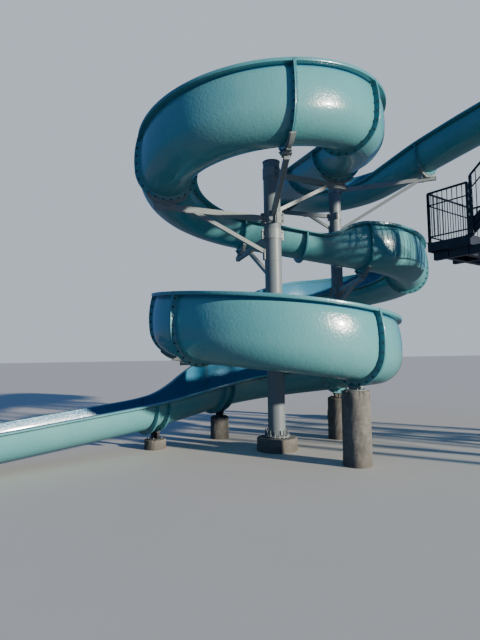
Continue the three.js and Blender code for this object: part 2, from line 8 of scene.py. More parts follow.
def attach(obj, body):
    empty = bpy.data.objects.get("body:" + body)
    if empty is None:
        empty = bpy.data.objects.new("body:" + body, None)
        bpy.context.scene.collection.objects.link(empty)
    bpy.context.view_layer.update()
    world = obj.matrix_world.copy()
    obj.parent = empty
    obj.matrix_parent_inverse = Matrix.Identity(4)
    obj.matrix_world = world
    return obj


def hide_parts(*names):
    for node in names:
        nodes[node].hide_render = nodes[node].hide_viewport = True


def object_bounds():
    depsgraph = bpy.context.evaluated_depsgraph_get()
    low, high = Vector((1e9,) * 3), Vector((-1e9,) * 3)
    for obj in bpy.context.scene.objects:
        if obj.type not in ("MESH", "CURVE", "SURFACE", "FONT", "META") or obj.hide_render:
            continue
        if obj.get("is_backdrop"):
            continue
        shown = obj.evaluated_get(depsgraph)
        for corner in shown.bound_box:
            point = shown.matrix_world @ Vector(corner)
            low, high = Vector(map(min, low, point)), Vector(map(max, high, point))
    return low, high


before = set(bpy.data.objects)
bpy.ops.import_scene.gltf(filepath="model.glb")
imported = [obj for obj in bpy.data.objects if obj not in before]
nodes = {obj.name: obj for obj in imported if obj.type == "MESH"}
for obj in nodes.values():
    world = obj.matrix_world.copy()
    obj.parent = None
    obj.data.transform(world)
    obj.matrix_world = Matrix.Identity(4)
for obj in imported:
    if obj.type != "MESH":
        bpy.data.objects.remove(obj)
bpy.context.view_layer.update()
print("frame loaded,", len(nodes), "parts")

# meshes from arrays


def unit(v):
    return v / np.linalg.norm(v, axis=-1, keepdims=True)


def newObject(name, data):
    made = bpy.data.objects.new(name, data)
    bpy.context.scene.collection.objects.link(made)
    return made


class Parts:
    # closed shapes of four-cornered faces, gathered to be joined in one mesh;
    # placed takes their points from axes of their own to the common frame
    def __init__(self, placed=None):
        self.points, self.faces, self.looks, self.values, self.count = [], [], [], {}, 0
        self.placed = placed

    def add(self, shape, look=0, values=None):
        points, faces = shape
        points = self.placed(points) if self.placed else points
        a, b, c, d = (points[faces[:, k]] - points.mean(0) for k in range(4))
        # the triple products of the corners sum to a negative volume where the faces look inwards
        if (a * np.cross(b, c)).sum() + (a * np.cross(c, d)).sum() < 0:
            faces = faces[:, ::-1]
        self.points.append(points)
        self.faces.append(faces + self.count)
        self.looks.append(np.broadcast_to(look, len(faces)))
        for key, array in (values or {}).items():
            self.values.setdefault(key, []).append(np.ravel(array))
        self.count += len(points)
        return self

    def put(self, name, materials, slotName, replaced=(), sharp=32, soften=0.0):
        mesh = bpy.data.meshes.new(name)
        mesh.from_pydata(np.concatenate(self.points).tolist(), [], np.concatenate(self.faces).tolist())
        for material in materials:
            mesh.materials.append(material)
        mesh.polygons.foreach_set("material_index", np.concatenate(self.looks).astype(np.int32))
        for key, arrays in self.values.items():
            layer = mesh.attributes.new(key, "FLOAT", "POINT")
            layer.data.foreach_set("value", np.concatenate(arrays).astype(np.float32))
        mesh.shade_smooth()
        mesh.set_sharp_from_angle(angle=math.radians(sharp))
        piece = newObject(name, mesh)
        if soften > 0:
            rounded = piece.modifiers.new("rounded edges", "BEVEL")
            rounded.width, rounded.segments = soften, 2
            rounded.limit_method, rounded.angle_limit = "ANGLE", math.radians(40)
            rounded.harden_normals = True
        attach(piece, "root")
        if replaced:
            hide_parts(*replaced)


def swept(rings):
    # rings of points (rows, columns, 3), or a stack of such sweeps, joined along the rows;
    # both ends are closed with a ladder from point k to point -1-k
    rows, columns = rings.shape[-3:-1]
    r, c = np.meshgrid(np.arange(rows - 1), np.arange(columns), indexing="ij")
    following = (c + 1) % columns
    cells = np.stack([r * columns + c, r * columns + following,
                      (r + 1) * columns + following, (r + 1) * columns + c], -1)
    k = np.arange(columns // 2 - 1)
    ladder = np.stack([k, k + 1, columns - 2 - k, columns - 1 - k], 1)
    faces = np.concatenate([cells.reshape(-1, 4), ladder[:, ::-1], ladder + (rows - 1) * columns])
    starts = np.arange(0, rings.size // 3, rows * columns)
    return rings.reshape(-1, 3), (faces + starts[:, None, None]).reshape(-1, 4)


def prisms(starts, ends, outline):
    # a bar along every line, with an outline of level side and upward rise at both ends
    starts, ends = np.atleast_2d(starts, ends)
    along = unit(ends - starts)
    upright = np.abs(along[:, 2:]) > 0.999
    side = unit(np.cross(np.where(upright, [[0.0, 1.0, 0.0]], [[0.0, 0.0, 1.0]]), along))
    rise = np.cross(along, side)
    ring = outline[None, :, :1] * side[:, None] + outline[None, :, 1:] * rise[:, None]
    return swept(np.stack([starts[:, None] + ring, ends[:, None] + ring], 1))


def rods(starts, ends, radius, sides):
    # round or many-sided bars
    a = (np.arange(sides) + 0.5) * 2 * math.pi / sides
    return prisms(starts, ends, radius * np.stack([np.cos(a), np.sin(a)], -1))


def bars(starts, ends, width, height):
    # square-edged bars, width level and height across it
    corner = np.array([[-1, -1], [1, -1], [1, 1], [-1, 1]]) / 2
    return prisms(starts, ends, corner * [width, height])


def levelWay(angle):
    # level direction at an angle from +X
    return np.array([math.cos(angle), math.sin(angle), 0.0])


def block(centre, size, heading=0.0):
    # a box about its centre, turned by heading about the upright
    way = levelWay(heading) * size[0] / 2
    middle = np.asarray(centre, float)
    return bars(middle - way, middle + way, size[1], size[2])


def turned(profile, x, y, steps=64, shaken=None):
    # pairs of radius and height carried round an upright line
    a = np.arange(steps) * 2 * math.pi / steps
    r, z = (np.outer(column, np.ones(steps)) for column in np.asarray(profile, float).T)
    if shaken is not None:
        r, z = shaken(r, z, a[None] * np.ones_like(r))
    return swept(np.stack([x + r * np.cos(a), y + r * np.sin(a), z], -1))


# layers of every kind of bolt: from and to along it, radius, sides
bolts = {
    "flangeHead": ((0.0, 0.0025, 0.0155, 12), (0.0025, 0.0105, 0.0105, 6)),
    "flangeNut": ((0.0, 0.0025, 0.0155, 12), (0.0025, 0.0125, 0.0105, 6), (0.01, 0.019, 0.0055, 8)),
    "anchor": ((0.18, 0.322, 0.0085, 10), (0.233, 0.237, 0.021, 12), (0.237, 0.253, 0.0165, 6),
               (0.2015, 0.214, 0.0165, 6)),
    "clamp": ((-0.032, 0.032, 0.007, 10), (-0.026, -0.016, 0.0125, 6), (0.016, 0.026, 0.0125, 6)),
    "armFoot": ((0.012, 0.023, 0.0125, 6),),
    "saddle": ((0.01, 0.02, 0.0095, 6),),
    "stub": ((0.01, 0.034, 0.007, 10), (0.012, 0.024, 0.014, 6)),
    "post": ((0.01, 0.017, 0.007, 6),),
    "tread": ((-0.0075, 0.001, 0.0095, 6),),
}


def addBolts(parts, kind, place, look=1):
    # place gives the bolts' points at a distance along them
    for begin, end, radius, sides in bolts[kind]:
        parts.add(rods(place(begin), place(end), radius, sides), look)


def raised(places, height):
    return np.column_stack([places, np.full(len(places), height)])


# path of the slide

slidePath = {
    "circles": [(2.005, 3.5, 1.45, 1), (-0.17, -0.045, 1.54, -1), (1.765, 3.6, 1.58, 1), (0, 0, 1.515, 1)],
    "entryHeading": 127.0,
    "exitHeading": 221.5,
    "entryLength": 7.3,
    "exitLength": 5.25,
    "easing": 0.24,
}


def tangentPoint(circle, h):
    # point of a circle at which its heading is h
    x, y, r, t = circle
    return np.array([x + r * t * math.sin(h), y - r * t * math.cos(h)])


circles, pathLength = slidePath["circles"], slidePath["entryLength"]
headings = [math.radians(slidePath["entryHeading"])]
for (x0, y0, r0, t0), (x1, y1, r1, t1) in zip(circles, circles[1:]):
    lean = math.asin((r0 * t0 - r1 * t1) / math.hypot(x1 - x0, y1 - y0))
    headings.append(math.atan2(y1 - y0, x1 - x0) + lean)
headings.append(math.radians(slidePath["exitHeading"]))
h = headings[0]
begin = tangentPoint(circles[0], h) - pathLength * levelWay(h)[:2]
# rows of start, x, y, heading and curvature: straights and arcs in order
route = [(0.0, *begin, h, 0.0)]
for i, circle in enumerate(circles):
    r, t = circle[2:]
    route.append((pathLength, *tangentPoint(circle, headings[i]), headings[i], t / r))
    pathLength += (t * (headings[i + 1] - headings[i])) % (2 * math.pi) * r
    leave = tangentPoint(circle, headings[i + 1])
    route.append((pathLength, *leave, headings[i + 1], 0.0))
    if i + 1 < len(circles):
        pathLength += float(np.linalg.norm(tangentPoint(circles[i + 1], headings[i + 1]) - leave))
route, pathLength = np.array(route), pathLength + slidePath["exitLength"]
bendA, runA, bendB, runB, bendC, runC, bendD, exitRun = route[1:, 0]


def alongBend(row, degrees):
    # distance at which the bend in this row of the route has turned to a heading
    start, _, _, heading, curve = route[row]
    return start + (math.copysign(1, curve) * (math.radians(degrees) - heading)) % (2 * math.pi) / abs(curve)


def pathAt(s):
    # place and heading at any distances: arc of constant curvature, or a line
    s = np.asarray(s, float)
    row = route[np.clip(np.searchsorted(route[:, 0], s, side="right") - 1, 0, len(route) - 1)]
    start, x, y, h0, k = np.moveaxis(row, -1, 0)
    t = s - start
    bent = k != 0
    safe = np.where(bent, k, 1.0)
    h = h0 + k * t
    x = x + np.where(bent, (np.sin(h) - np.sin(h0)) / safe, t * np.cos(h0))
    y = y + np.where(bent, (np.cos(h0) - np.cos(h)) / safe, t * np.sin(h0))
    return x, y, h


def spotAt(s):
    # place and heading at one distance as plain numbers
    return tuple(float(value) for value in pathAt(s))


# along the path: the height of the flume's underside, then each wall's height above it
drops = np.array([
    (0, 6.6441), (bendA - 4.2, 6.225), (bendA - 2.3, 5.93), (bendA + 0.15, 5.46), (bendA + 1.1, 5.33),
    (bendA + 2.6, 5.19), (runA, 4.975), (bendB, 4.595), (alongBend(3, 182), 4.23), (alongBend(3, 106), 3.95),
    (runB, 3.55), (bendC, 3.175), (alongBend(5, 92), 2.88), (runC, 2.42), (bendD, 1.73), (bendD + 0.9, 1.52),
    (alongBend(7, 360), 1.27), (alongBend(7, 413), 1.08), (alongBend(7, 452), 0.99), (exitRun, 0.56),
    (exitRun + 1.4, 0.33), (exitRun + 3.82, 0.13), (pathLength, 0.075)])
leftWalls = np.array([
    (0, 0.62), (bendA - 1.2, 0.62), (bendA + 0.2, 0.48), (runA - 0.5, 0.45), (runA + 0.9, 0.45),
    (bendB - 0.9, 0.7), (bendB + 0.2, 0.85), (alongBend(3, 225), 0.93), (runB - 0.9, 0.93),
    (runB + 0.3, 0.45), (pathLength, 0.45)])
rightWalls = np.array([
    (0, 0.62), (bendA - 1.2, 0.7), (bendA + 0.2, 0.95), (runA - 1.6, 0.95), (runA + 0.1, 0.6),
    (runA + 0.7, 0.45), (bendC - 1.0, 0.45), (bendC - 0.45, 0.86), (bendC + 0.35, 0.97),
    (runC - 1.0, 0.95), (runC, 0.72), (runC + 1.2, 0.5), (runC + 2.6, 0.52), (bendD - 0.2, 0.88),
    (bendD + 0.4, 0.95), (bendD + 5.6, 0.97), (exitRun - 0.25, 0.96), (exitRun + 0.35, 0.76),
    (exitRun + 0.9, 0.47), (exitRun + 1.3, 0.45), (pathLength, 0.45)])


def eased(table, s):
    # mean of five readings of the table over a short stretch, which rounds its corners
    s = np.asarray(s, float)
    shifts = np.array([-1, -0.5, 0, 0.5, 1]) * slidePath["easing"]
    return sum(np.interp(s + k, table[:, 0], table[:, 1]) for k in shifts) / len(shifts)


def onPath(s, side, up):
    # point to the left of the path by side and above the flume's underside by up
    s, side, up = np.broadcast_arrays(np.asarray(s, float), side, up)
    x, y, h = pathAt(s)
    return np.stack([x - np.sin(h) * side, y + np.cos(h) * side, eased(drops, s) + up], -1)


jointAt = {
    "start": 0.0, "entryMiddle": bendA - 3.15, "entryArm": bendA - 1.26, "rearWest": alongBend(1, 270),
    "crossing": runA + 1.2, "loopEast": bendB - 0.37, "loopSouthEast": alongBend(3, 232),
    "loopSouth": alongBend(3, 190), "loopWest": alongBend(3, 106), "loopNorth": runB,
    "midRun": runB + 1.2, "midFront": bendC - 0.15, "midEast": alongBend(5, 80),
    "midNorth": alongBend(5, 165), "backRun": runC, "backWest": alongBend(7, 272),
    "lowWest": alongBend(7, 312), "lowFront": alongBend(7, 401), "lowEast": alongBend(7, 489),
    "exitPier": exitRun - 0.06, "exitLow": exitRun + 1.3, "end": pathLength,
}

# shader helpers


class Nodes:
    # short ways to place and join nodes in one tree
    def __init__(self, tree):
        self.tree = tree

    def node(self, kind, inputs=None, **settings):
        made = self.tree.nodes.new("ShaderNode" + kind)
        for key, value in settings.items():
            setattr(made, key, value)
        for key, value in (inputs or {}).items():
            self.feed(made.inputs[key], value)
        return made

    def feed(self, socket, value):
        if isinstance(value, bpy.types.NodeSocket):
            self.tree.links.new(value, socket)
        else:
            socket.default_value = value

    def math(self, operation, a, b, clamp=False):
        return self.node("Math", {0: a, 1: b}, operation=operation, use_clamp=clamp).outputs[0]

    def times(self, a, b):
        return self.math("MULTIPLY", a, b)

    def plus(self, base, mask, share):
        # a number and a share of a mask, from 0 to 1
        return self.math("ADD", base, self.times(mask, share), True)

    def ramp(self, value, low, high, to0=0.0, to1=1.0, kind="SMOOTHSTEP"):
        ends = {"Value": value, "From Min": low, "From Max": high, "To Min": to0, "To Max": to1}
        return self.node("MapRange", ends, clamp=True, interpolation_type=kind).outputs[0]

    def mix(self, factor, a, b):
        # sockets 0, 6 and 7 of the mix node are the colour kind's factor and colours
        return self.node("Mix", {0: factor, 6: a, 7: b}, data_type="RGBA").outputs[2]

    def over(self, colour, mask, share, other):
        # lays a screen colour over a colour by a share of a mask
        return self.mix(self.times(mask, share), colour, linear(other))

    def noise(self, vector, scale, detail, roughness):
        given = {"Vector": vector, "Scale": scale, "Detail": detail, "Roughness": roughness}
        return self.node("TexNoise", given).outputs["Fac"]

    def place(self, scale=(1, 1, 1), shift=(0, 0, 0)):
        spot = self.node("TexCoord").outputs["Object"]
        return self.node("Mapping", {"Vector": spot, "Scale": scale, "Location": shift}).outputs[0]

    def group(self, name, *inputs):
        # one of the node groups, its inputs in the order of its sockets
        return self.node("Group", dict(enumerate(inputs)), node_tree=groups[name]).outputs[0]


groups = {}


def newGroup(name, labels, output="Mask"):
    # a shader node group and its sockets: numbers, but a place and a normal are vectors
    tree = groups[name] = bpy.data.node_groups.new(name, "ShaderNodeTree")
    inputs = labels.split()
    for label in (*inputs, output):
        kind = "NodeSocketVector" if label in ("Place", "Normal") else "NodeSocketFloat"
        tree.interface.new_socket(label, in_out="OUTPUT" if label == output else "INPUT", socket_type=kind)
    given, taken = (tree.nodes.new(kind) for kind in ("NodeGroupInput", "NodeGroupOutput"))
    return Nodes(tree), taken.inputs[0], *given.outputs[:len(inputs)]


# large soft patches broken by finer ones, from 0 to 1
n, out, place, scale, low, high = newGroup("blotches", "Place Scale Low High")
n.feed(out, n.ramp(n.noise(place, scale, 5.0, 0.6), low, high, kind="LINEAR"))

# runs of dirty water: noise that is narrow across the piece and long down it
labels = "Across Down Width Length Low High"
n, out, across, down, width, length, low, high = newGroup("rainStreaks", labels)
spread = n.node("CombineXYZ", {"X": n.times(across, width), "Y": n.times(down, length)}).outputs[0]
n.feed(out, n.ramp(n.noise(spread, 1.0, 4.0, 0.6), low, high, kind="LINEAR"))

# dust lies where the surface faces up, more where the noise says so
n, out, place, scale, amount = newGroup("settledDust", "Place Scale Amount")
normal = n.node("NewGeometry").outputs["Normal"]
level = n.ramp(n.node("SeparateXYZ", {0: normal}).outputs["Z"], 0.35, 0.95)
patch = n.ramp(n.noise(place, scale, 4.0, 0.6), 0.3, 0.7, 0.35, 1.0)
n.feed(out, n.math("MULTIPLY", n.times(level, patch), amount, True))

# fine unevenness: one coarse and one fine noise as a bumped normal
labels = "Place Coarse Fine Depth Balance"
n, out, place, coarse, fine, depth, balance = newGroup("surfaceGrain", labels, "Normal")
ground = n.times(n.noise(place, coarse, 2.0, 0.5), n.math("SUBTRACT", 1.0, balance))
relief = n.math("ADD", ground, n.times(n.noise(place, fine, 3.0, 0.6), balance))
bump = {"Strength": 1.0, "Distance": depth, "Height": relief}
n.feed(out, n.node("Bump", bump).outputs[0])


def linear(colour):
    # screen colour 0-255 to the linear values the shader wants
    c = np.array(colour) / 255
    c = np.where(c <= 0.04045, c / 12.92, ((c + 0.055) / 1.055) ** 2.4)
    return (*c.tolist(), 1.0)


def newMaterial(name, viewColour):
    material = bpy.data.materials.new(name)
    material.use_nodes = True
    material.diffuse_color = linear(viewColour)
    return material, Nodes(material.node_tree), material.node_tree.nodes["Principled BSDF"].inputs


# blotches: scale, low, high; streaks: width, length, low, high; dust: scale, amount;
# grain: coarse scale, fine scale, depth, share of the fine one
gelcoat = {
    "outside": {"colour": (98, 166, 169), "faded": (128, 185, 183), "dirt": (70, 88, 84), "rough": 0.2},
    "inside": {"colour": (52, 128, 166), "faded": (104, 166, 184), "dirt": (84, 104, 100), "rough": 0.24},
    "trim": {"colour": (83, 152, 160), "faded": (117, 175, 177), "dirt": (60, 78, 76), "rough": 0.26},
    "patches": (1.5, 0.36, 0.7), "patchFade": 0.35, "patchRough": 0.08,
    "streaks": (22.0, 1.1, 0.52, 0.8), "streakFade": 0.2, "drips": (70.0, 2.2, 0.55, 0.85),
    # the three lip values paint shade: reach below the lip, share and colour of a dark band on the outside
    # wall under the lip
    "dripDirt": 0.08, "jointReach": 0.05, "jointDirt": 0.4, "underLipShadeReach": (0.012, 0.04),
    "underLipShadeShare": 0.75, "underLipShadeColour": (18, 30, 34), "dust": (5.0, 0.5),
    "dustColour": (150, 150, 138), "dustCover": 0.5, "dustRough": 0.35,
    "grain": (26.0, 70.0, 0.004, 0.25), "ior": 1.52, "coat": 0.35, "coatRough": 0.08,
}


def topLayers(n, shader, v, spot, colour, patches):
    # dust over the colour, then roughness and grain
    dust = n.group("settledDust", spot, *v["dust"])
    n.feed(shader["Base Color"], n.over(colour, dust, v["dustCover"], v["dustColour"]))
    n.feed(shader["Roughness"], n.plus(n.plus(v["rough"], patches, v["patchRough"]), dust, v["dustRough"]))
    n.feed(shader["Normal"], n.group("surfaceGrain", spot, *v["grain"]))
    return dust


def gelcoatFinish(name):
    # glossy resin skin, chalked by the sun in patches, with runs of dirt from rim and joints; outside,
    # painted shade in a dark band under the lip
    v = {**gelcoat, **gelcoat[name]}
    material, n, shader = newMaterial("gelcoat_" + name, v["colour"])
    spot = n.place()
    along, down, joint = (n.node("Attribute", attribute_name=key).outputs["Fac"]
                          for key in ("alongSlide", "belowLip", "fromJoint"))
    patches = n.group("blotches", spot, *v["patches"])
    colour = n.over(linear(v["colour"]), patches, v["patchFade"], v["faded"])
    for kind, share, other in (("streaks", "streakFade", "faded"), ("drips", "dripDirt", "dirt")):
        colour = n.over(colour, n.group("rainStreaks", along, down, *v[kind]), v[share], v[other])
    colour = n.over(colour, n.ramp(joint, 0.0, v["jointReach"], 1.0, 0.0), v["jointDirt"], v["dirt"])
    if name == "outside":
        # painted shade: a dark band on the wall right under the lip, where the lip's overhang shades it
        colour = n.over(colour, n.ramp(down, *v["underLipShadeReach"], 1.0, 0.0), v["underLipShadeShare"], v["underLipShadeColour"])
    topLayers(n, shader, v, spot, colour, patches)
    n.feed(shader["IOR"], v["ior"])
    n.feed(shader["Coat Weight"], v["coat"])
    n.feed(shader["Coat Roughness"], v["coatRough"])
    return material


paints = {
    "supportPaint": {"colour": (140, 148, 146), "worn": (106, 110, 106), "rough": 0.45},
    "columnPaint": {"colour": (122, 132, 134), "worn": (96, 102, 102), "rough": 0.45},
    "towerPaint": {"colour": (30, 42, 58), "worn": (74, 80, 88), "rough": 0.42},
    "treadMetal": {"colour": (92, 100, 106), "worn": (142, 146, 148), "rough": 0.48, "metal": 0.6},
    "galvanised": {"colour": (120, 126, 130), "worn": (86, 86, 84), "rough": 0.42, "metal": 0.7},
    "darkSteel": {"colour": (62, 64, 64), "worn": (104, 80, 60), "rough": 0.55, "metal": 0.5},
    "boltSteel": {"colour": (56, 84, 92), "worn": (84, 104, 108), "rough": 0.5},
}
paintWear = {
    "metal": 0.0, "patches": (7.0, 0.56, 0.74), "patchWorn": 0.4, "patchRough": 0.2,
    "runs": (1.0, 0.5, 0.78), "runStretch": (26, 26, 1.2), "runWorn": 0.3,
    "specks": (60.0, 0.64, 0.74), "speckWorn": 0.5, "dust": (12.0, 0.7),
    "dustColour": (148, 150, 144), "dustCover": 0.55, "dustRough": 0.25, "dustDull": -0.5,
    "grain": (30.0, 320.0, 0.0008, 0.4),
}


def paintFinish(name):
    # coated steel: slightly uneven film, rubbed and rust-tinted patches, dust on top faces
    v = {**paintWear, **paints[name]}
    material, n, shader = newMaterial(name, v["colour"])
    spot = n.place()
    patches = n.group("blotches", spot, *v["patches"])
    runs = n.group("blotches", n.place(scale=v["runStretch"]), *v["runs"])
    specks = n.group("blotches", spot, *v["specks"])
    colour = linear(v["colour"])
    for mask, share in ((patches, v["patchWorn"]), (runs, v["runWorn"]), (specks, v["speckWorn"])):
        colour = n.over(colour, mask, share, v["worn"])
    dust = topLayers(n, shader, v, spot, colour, patches)
    if v["metal"] > 0:
        n.feed(shader["Metallic"], n.plus(v["metal"], dust, v["dustDull"]))
    return material


concreteLook = {
    "colour": (124, 121, 114), "dark": (100, 97, 90), "pale": (152, 149, 141),
    "damp": (84, 77, 67), "rough": 0.92, "clouds": (5.0, 0.35, 0.68),
    "paleSpots": (14.0, 0.52, 0.7), "paleShare": 0.5, "pitScale": 55.0, "pitEdge": (0.05, 0.2),
    "pitShare": 0.6, "pitDepth": 0.7, "dampHeight": (0.02, 0.22), "dampShare": 0.55,
    "dampGloss": -0.3, "grainScale": 45.0, "bump": 0.006, "bumpStrength": 0.9,
}


def concreteFinish():
    # cast concrete: cloudy colour, dark pits, damp foot and worn pale edges
    v = concreteLook
    material, n, shader = newMaterial("castConcrete", v["colour"])
    spot = n.place()
    clouds = n.group("blotches", spot, *v["clouds"])
    pale = n.group("blotches", n.place(shift=(3, 1, 7)), *v["paleSpots"])
    pits = n.node("TexVoronoi", {"Vector": spot, "Scale": v["pitScale"]}).outputs["Distance"]
    hole = n.ramp(pits, *v["pitEdge"], 1.0, 0.0)
    height = n.node("SeparateXYZ", {0: spot}).outputs["Z"]
    damp = n.ramp(height, *v["dampHeight"], v["dampShare"], 0.0)
    colour = n.mix(clouds, linear(v["colour"]), linear(v["dark"]))
    colour = n.over(colour, pale, v["paleShare"], v["pale"])
    colour = n.over(colour, hole, v["pitShare"], v["dark"])
    n.feed(shader["Base Color"], n.mix(damp, colour, linear(v["damp"])))
    n.feed(shader["Roughness"], n.plus(v["rough"], damp, v["dampGloss"]))
    relief = n.math("SUBTRACT", n.noise(spot, v["grainScale"], 6.0, 0.7), n.times(hole, v["pitDepth"]))
    bump = {"Strength": v["bumpStrength"], "Distance": v["bump"], "Height": relief}
    n.feed(shader["Normal"], n.node("Bump", bump).outputs[0])
    return material


floorLook = {
    "colour": (208, 204, 194), "mottled": (200, 196, 187), "mottle": (0.8, 0.3, 0.7),
    "mottleShare": 0.3, "bounce": (124, 127, 130), "rough": 0.85,
}


def floorFinish():
    # matt pale studio floor with a faint mottle; it throws less light back than it shows
    v = floorLook
    material, n, shader = newMaterial("studioFloor", v["colour"])
    mottle = n.group("blotches", n.place(), *v["mottle"])
    colour = n.over(linear(v["colour"]), mottle, v["mottleShare"], v["mottled"])
    seen = n.node("LightPath").outputs["Is Camera Ray"]
    n.feed(shader["Base Color"], n.mix(seen, linear(v["bounce"]), colour))
    n.feed(shader["Roughness"], v["rough"])
    return material


# looks 0, 1 and 2 of a shell
shellLooks = [gelcoatFinish(name) for name in ("outside", "inside", "trim")]
supportPaint, columnPaint, towerPaint, treadMetal, galvanised, darkSteel, boltSteel = map(paintFinish, paints)
castConcrete, studioFloor = concreteFinish(), floorFinish()
print("materials made")

# flume sections

flume = {
    "bore": 0.4, "wall": 0.01, "lean": 0.09, "curl": 1.3, "bowlSteps": 24, "wallSteps": 9,
    "skinSteps": 8, "stationStep": 0.08, "jointGap": 0.0001, "flangeOut": 0.077,
    "lipDepth": 0.05, "lipClear": 0.012, "flangeThick": 0.014, "flangeStreakTop": 0.9,
    "flangeWear": 0.035, "ribbed": ("exitPier", "exitLow"), "ribAt": 0.19, "boltPitch": 0.12,
    "boltOut": 0.047,
}
centreUp = flume["bore"] + flume["wall"]
bowlTurn = np.linspace(0, math.pi, flume["bowlSteps"] + 1)[1:-1]
# rolled rim, outwards and upwards from the inner edge of the wall's top: upper face, then lower face
rimTop = np.array([(95, -26), (95, -9), (92, -3), (85, -0.5), (50, 1.5), (14, 1), (4, -2), (0, -8)]) / 1000
rimUnder = np.array([(95, -27), (95, -42), (92, -47.5), (85, -49.5), (50, -50), (18, -51), (12, -54),
                     (10, -60)]) / 1000


def wallBeyond(up):
    # how far a wall stands out from the bowl's edge: out by its lean, in again by its curl
    above = up - centreUp
    return flume["lean"] * above - above ** 2 / (2 * flume["curl"])


def lipShare(top):
    # a lip is shallower on a low wall, so that it stays clear of the bowl
    return np.minimum(1, (top - centreUp - flume["lipClear"]) / flume["lipDepth"])


def crossSection(s):
    # closed outline at each distance, side and up: half circle bowl, curled walls, rolled rims
    s, a = s[:, None], bowlTurn[None]
    t = np.linspace(0, 1, flume["wallSteps"] + 1)[1:][None]

    def half(table, rim, radius):
        top = eased(table, s)
        rimUp = top + rim[:, 1] * lipShare(top)
        wallUp = rimUp[:, -1:] * (1 - t) + centreUp * t
        side = [flume["bore"] + wallBeyond(top) + rim[:, 0], radius + wallBeyond(wallUp)]
        return np.stack([np.concatenate(side, 1), np.concatenate([rimUp, wallUp], 1)], -1)

    chains = []
    for rim, radius in ((rimTop, flume["bore"]), (rimUnder, centreUp)):
        bowl = np.stack([radius * np.cos(a) + 0 * s, centreUp - radius * np.sin(a) + 0 * s], -1)
        right = half(rightWalls, rim, radius)[:, ::-1] * [-1, 1]
        chains.append(np.concatenate([half(leftWalls, rim, radius), bowl, right], 1))
    return np.moveaxis(np.concatenate([chains[0], chains[1][:, ::-1]], 1), -1, 0)


def outerSkin(s):
    # outer face from below one rim round to the other, and its outward directions, side and up
    a = bowlTurn
    t = np.linspace(0, 1, flume["skinSteps"] + 1)

    def half(table, way):
        top = float(eased(table, s))
        up = (top - flume["lipDepth"] * lipShare(top)) * (1 - t) + centreUp * t
        slope = flume["lean"] - (up - centreUp) / flume["curl"]
        skin = np.stack([way * (centreUp + wallBeyond(up)), up], -1)
        return skin[::way], (unit(np.stack([np.ones_like(slope), -slope], -1)) * [way, 1])[::way]

    (left, leftOut), (right, rightOut) = half(leftWalls, 1), half(rightWalls, -1)
    bowl = np.stack([centreUp * np.cos(a), centreUp * (1 - np.sin(a))], -1)
    bowlOut = np.stack([np.cos(a), -np.sin(a)], -1)
    return np.concatenate([left, bowl, right]), np.concatenate([leftOut, bowlOut, rightOut])


# a flange across its thickness: distance from its free face, height above the skin
flangeForm = np.array([(0, -4), (0, 74.5), (2.5, 77), (12, 77), (14, 74.5), (14, 12), (18, 3),
                       (26, -4)]) / 1000
ribForm = np.array([(-12, -4), (-4, 3), (0, 12), (0, 74), (3, 77), (25, 77), (28, 74), (28, 12), (32, 3),
                    (40, -4)]) / 1000


def flangeRings(s, form, way):
    # the form carried round the skin from one rim to the other
    skin, out = outerSkin(s)
    place = skin[:, None] + out[:, None] * form[None, :, 1:]
    return onPath(s + way * form[None, :, 0], place[..., 0], place[..., 1])


def flumeSection(number, nodeName, begin, finish, ribbed):
    # the shell, its two end flanges and a rib, as closed shapes of one moulding
    gap = flume["jointGap"]
    s = np.linspace(begin + gap, finish - gap, int((finish - begin) / flume["stationStep"]) + 2)
    side, up = crossSection(s)
    tops = np.where(side > 0, eased(leftWalls, s)[:, None], eased(rightWalls, s)[:, None])
    columns = side.shape[1]
    k, half, edge = np.arange(columns), columns // 2, len(rimTop) - 1
    isRim = (k < edge) | ((k >= half - 1 - edge) & (k < half + edge)) | (k >= columns - 1 - edge)
    columnLook = np.where(isRim, 2, np.where(k < half, 1, 0))
    looks = np.concatenate([np.tile(columnLook, len(s) - 1), np.full(2 * (half - 1), 2)])
    along = np.repeat(s, columns)
    parts = Parts()
    parts.add(swept(onPath(s[:, None], side, up)), looks,
              {"alongSlide": along, "belowLip": tops - up - flume["lipDepth"] * lipShare(tops),
               "fromJoint": np.minimum(along - begin, finish - along)})
    rings = [(begin, gap, flangeForm, 1), (finish, -gap, flangeForm, -1)]
    if ribbed:
        rings.append((begin + flume["ribAt"], 0.0, ribForm, 1))
    for at, shift, form, way in rings:
        ring = flangeRings(at + shift, form, way)
        count = ring.size // 3
        below = float(eased(drops, at)) + flume["flangeStreakTop"] - ring[..., 2]
        # 15 streak places 20 mm apart, over and over round the ring
        parts.add(swept(ring), 2, {"alongSlide": np.full(count, at) + 0.02 * np.arange(count) % 0.3,
                                   "belowLip": below, "fromJoint": np.full(count, flume["flangeWear"])})
    parts.put(f"shell_{number:02d}", shellLooks, "flume_shell", [nodeName], sharp=38)


jointNames = list(jointAt)
for number, (joint, following) in enumerate(zip(jointNames, jointNames[1:]), 1):
    flumeSection(number, f"flume_{number:02d}_from_{joint}", jointAt[joint], jointAt[following],
                 joint in flume["ribbed"])

# washer and head on one face of every flange pair, washer, nut and thread end on the other
parts = Parts()
for joint in jointNames[1:-1]:
    # evenly spaced points round the flange pair, on its bolt circle
    skin, out = outerSkin(jointAt[joint])
    circle = (skin + out * flume["boltOut"]).T
    run = np.concatenate([[0], np.cumsum(np.hypot(*np.diff(circle)))])
    count = int(run[-1] / flume["boltPitch"])
    side, up = (np.interp((np.arange(count) + 0.5) * run[-1] / count, run, line) for line in circle)
    for way, kind in ((-1, "flangeHead"), (1, "flangeNut")):
        face = jointAt[joint] + way * (flume["flangeThick"] + flume["jointGap"])
        addBolts(parts, kind, lambda along: onPath(face + way * along, side, up), 0)
parts.put("flange_bolts", [boltSteel], "support_steel", sharp=30)
print("flume sections and their bolts made")

# columns, footings and piers

